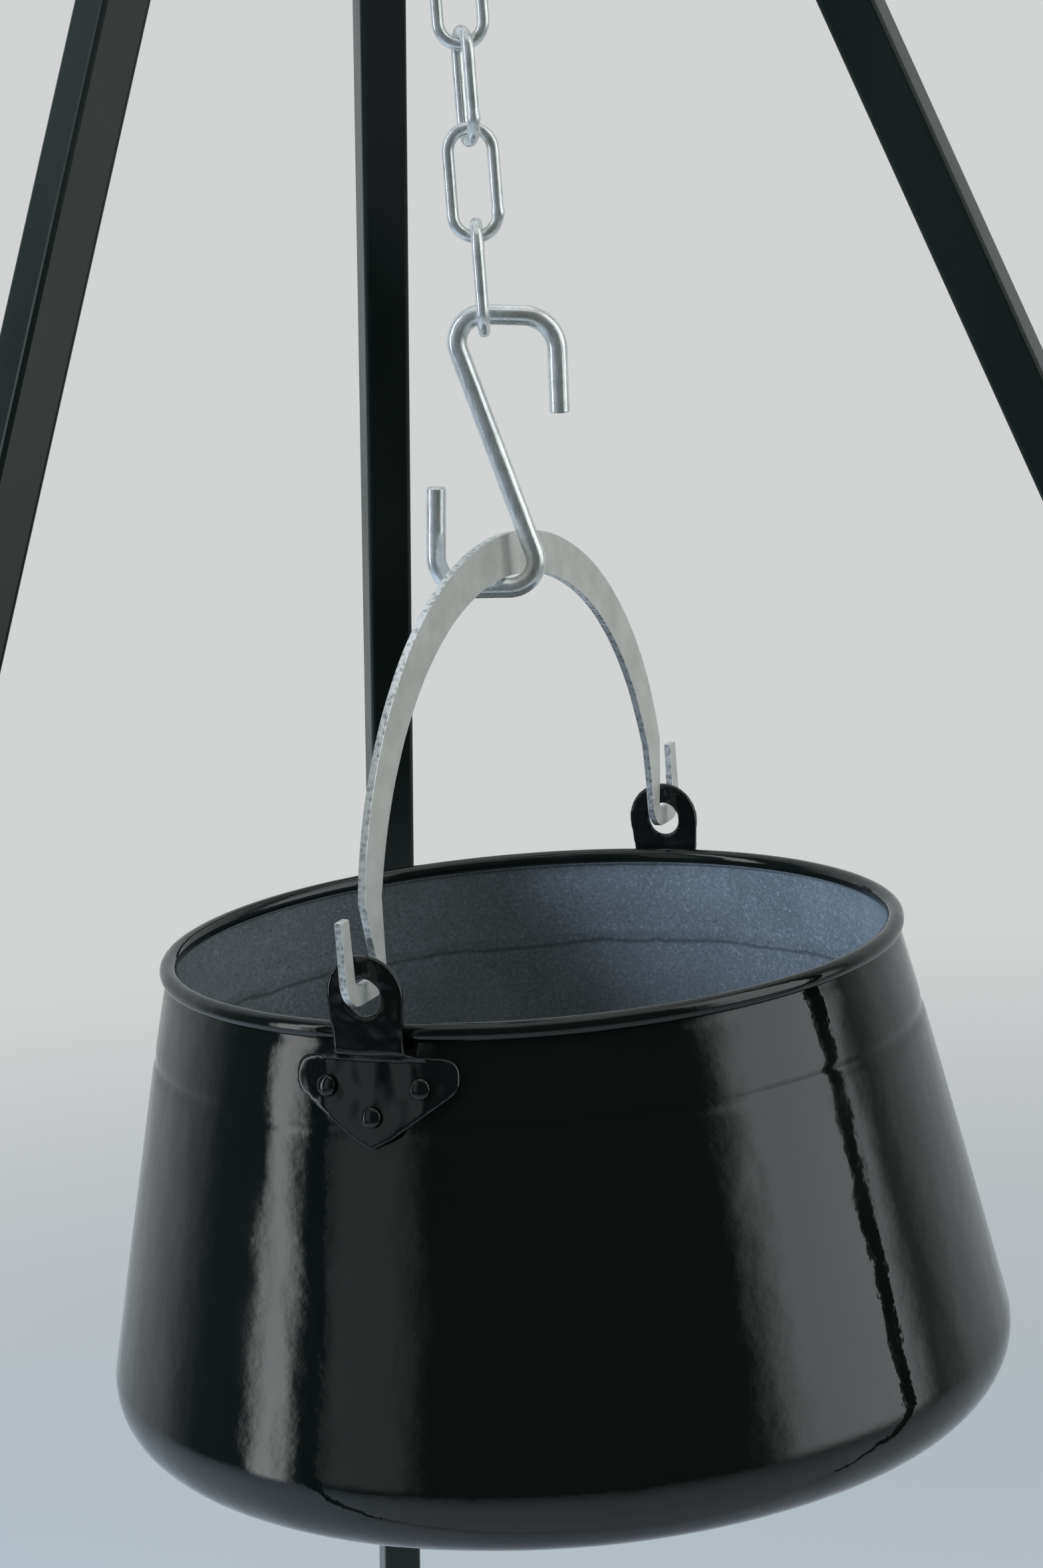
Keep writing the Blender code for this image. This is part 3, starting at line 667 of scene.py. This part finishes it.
def make_camera():
    """In front at the kettle's height, turned a little to the right, tilted down and rolled."""
    yaw = math.radians(10.0)
    pitch = math.radians(10.78)
    roll = math.radians(-4.44)
    forward = Vector((math.sin(yaw) * math.cos(pitch), math.cos(yaw) * math.cos(pitch), -math.sin(pitch)))
    right = Vector((math.cos(yaw), -math.sin(yaw), 0.0))
    up = right.cross(forward)
    across = right * math.cos(roll) + up * math.sin(roll)
    upward = up * math.cos(roll) - right * math.sin(roll)
    data = bpy.data.cameras.new("camera")
    data.lens = 82.2
    data.sensor_fit = "VERTICAL"
    data.sensor_height = 36.0
    camera = bpy.data.objects.new("camera", data)
    turn = Matrix((across, upward, -forward)).transposed().to_4x4()
    camera.matrix_world = Matrix.Translation((-0.2378, HUB_Y - 1.3880, 0.9442)) @ turn
    bpy.context.scene.collection.objects.link(camera)
    bpy.context.scene.camera = camera


def soft_box(name, position, target, size, watts, colour):
    data = bpy.data.lights.new(name, "AREA")
    data.shape = "RECTANGLE"
    data.size, data.size_y = size
    data.energy = watts
    data.color = colour
    light = bpy.data.objects.new(name, data)
    facing = (Vector(target) - Vector(position)).to_track_quat("-Z", "Y").to_matrix().to_4x4()
    light.matrix_world = Matrix.Translation(position) @ facing
    light.visible_glossy = False
    bpy.context.scene.collection.objects.link(light)


class Sky:
    """World nodes that build the studio's backdrop and soft boxes from directions."""

    def __init__(self):
        world = bpy.data.worlds.new("studio")
        world.use_nodes = True
        self.tree = world.node_tree
        self.tree.nodes.clear()
        self.direction = self.tree.nodes.new("ShaderNodeTexCoord").outputs["Generated"]
        bpy.context.scene.world = world

    def node(self, kind, **values):
        node = self.tree.nodes.new(kind)
        for name, value in values.items():
            setattr(node, name, value)
        return node

    def maths(self, operation, *inputs):
        node = self.node("ShaderNodeMath", operation=operation)
        for socket, value in zip(node.inputs, inputs):
            if isinstance(value, (int, float)):
                socket.default_value = value
            else:
                self.tree.links.new(value, socket)
        return node.outputs["Value"]

    def toward(self, azimuth, elevation):
        """Cosine of the angle to a direction."""
        a = math.radians(azimuth)
        e = math.radians(elevation)
        node = self.node("ShaderNodeVectorMath", operation="DOT_PRODUCT")
        self.tree.links.new(self.direction, node.inputs[0])
        node.inputs[1].default_value = (math.cos(a) * math.cos(e), math.sin(a) * math.cos(e), math.sin(e))
        return node.outputs["Value"]

    def ease(self, value, low, high):
        node = self.node("ShaderNodeMapRange", interpolation_type="SMOOTHSTEP")
        node.inputs["From Min"].default_value = low
        node.inputs["From Max"].default_value = high
        self.tree.links.new(value, node.inputs["Value"])
        return node.outputs["Result"]

    def panel(self, azimuth, half_width, low, high, soft=1.0):
        """A bright upright panel: its middle and half width in azimuth, its foot and top in elevation."""
        z = self.node("ShaderNodeSeparateXYZ")
        self.tree.links.new(self.direction, z.inputs[0])
        angle = self.maths("ARCTAN2", z.outputs["Y"], z.outputs["X"])
        away = self.maths("ABSOLUTE", self.maths("WRAP", self.maths("SUBTRACT", angle, math.radians(azimuth)),
                                                 math.pi, -math.pi))
        edge = math.radians(soft)
        wide = self.ease(away, math.radians(half_width) + edge, math.radians(half_width) - edge)
        up = self.maths("ARCSINE", z.outputs["Z"])
        above = self.ease(up, math.radians(low) - edge, math.radians(low) + edge)
        below = self.ease(up, math.radians(high) + edge, math.radians(high) - edge)
        return self.maths("MULTIPLY", wide, self.maths("MULTIPLY", above, below))

    def colour(self, base, layers):
        """Add coloured layers over a base colour."""
        total = self.node("ShaderNodeRGB").outputs[0]
        total.default_value = (*base, 1.0)
        for factor, tint in layers:
            mix = self.node("ShaderNodeMix", data_type="RGBA", blend_type="ADD", clamp_factor=False)
            self.tree.links.new(factor, mix.inputs[0])
            self.tree.links.new(total, mix.inputs[6])
            mix.inputs[7].default_value = (*tint, 1.0)
            total = mix.outputs[2]
        return total


def make_world():
    """A plain studio: pale backdrop, soft light from above, and three broad soft boxes with soft edges."""
    sky = Sky()
    room = sky.colour((0.045, 0.055, 0.050), [
        (sky.ease(sky.toward(78, 0), 0.15, 0.62), (0.42, 0.44, 0.45)),
        (sky.ease(sky.toward(260, 88), 0.70, 1.0), (0.75, 0.77, 0.78)),
        (sky.panel(-24, 22, -12, 55, 9.0), (1.70, 1.80, 1.82)),
        (sky.panel(181, 5, -14, 52, 4.5), (3.00, 3.00, 3.05)),
        (sky.panel(209, 12, -8, 46, 6.0), (0.34, 0.37, 0.37)),
    ])
    seen = sky.node("ShaderNodeRGB").outputs[0]
    seen.default_value = (0.640, 0.655, 0.650, 1.0)
    path = sky.node("ShaderNodeLightPath")
    mix = sky.node("ShaderNodeMix", data_type="RGBA")
    sky.tree.links.new(path.outputs["Is Camera Ray"], mix.inputs[0])
    sky.tree.links.new(room, mix.inputs[6])
    sky.tree.links.new(seen, mix.inputs[7])
    background = sky.node("ShaderNodeBackground")
    output = sky.node("ShaderNodeOutputWorld")
    sky.tree.links.new(mix.outputs[2], background.inputs["Color"])
    sky.tree.links.new(background.outputs[0], output.inputs["Surface"])


def make_lights():
    soft_box("overhead", (0.1, -0.3, 3.2), (0, 0, 0), (1.6, 1.6), 34.0, (1.0, 0.99, 0.97))
    soft_box("window", (-2.6, -0.3, 1.6), (0, -0.1, 0.7), (0.5, 1.6), 110.0, (0.62, 0.77, 1.0))
    soft_box("wall", (2.8, -0.6, 1.4), (0, -0.1, 0.7), (1.2, 1.6), 22.0, (0.96, 1.0, 0.97))
    soft_box("front", (-0.9, -3.0, 1.9), (0, -0.1, 0.8), (1.6, 1.0), 8.0, (1.0, 1.0, 0.98))


def make_floor():
    """A pale sheet that fades out a little beyond the feet."""
    bm = bmesh.new()
    bmesh.ops.create_circle(bm, cap_ends=True, radius=3.4, segments=96)
    mesh = bpy.data.meshes.new("floor")
    bm.to_mesh(mesh)
    bm.free()
    s = Shader("pale_floor", (0.375, 0.395, 0.405), 0.75)
    length = s.node("ShaderNodeVectorMath", operation="LENGTH")
    s.link(s.coordinates, length.inputs[0])
    s.use("Alpha", s.spread(length.outputs["Value"], 1.0, 0.0, 0.9, 2.4))
    mesh.materials.append(s.material)
    floor = bpy.data.objects.new("floor", mesh)
    floor.location = (0, 0, -0.0002)
    bpy.context.scene.collection.objects.link(floor)


# ---------------------------------------------------------------- the scene

SIDES = ("back", "left", "right")
zinc = zinc_plate()
enamel = black_enamel()
paint = black_paint()
make_links(zinc)
make_hook(zinc)
make_kettle(enamel, speckled_enamel())
make_ears(lumpy_enamel())
make_bail(galvanised_strip(), sheared_edge())
finish_nodes([f"leg_{side}" for side in SIDES], paint, 0.0)
finish_nodes(["hub_plate"], paint, 0.0005)
finish_nodes([f"foot_cap_{side}" for side in SIDES], black_plastic(), 0.0012)
fasteners = [f"pivot_{kind}_{side}" for kind in ("bolt", "nut") for side in SIDES] + ["eye_nut"]
washers = [f"pivot_washer_{side}_{end}" for side in SIDES for end in ("head", "nut")] + ["eye_washer"]
finish_nodes(fasteners, zinc, 0.0004)
finish_nodes(washers, zinc, 0.0002)
finish_nodes(["eye_bolt"], zinc, 0.0)
make_camera()
make_world()
make_lights()
make_floor()
bpy.context.scene.view_settings.view_transform = "Standard"
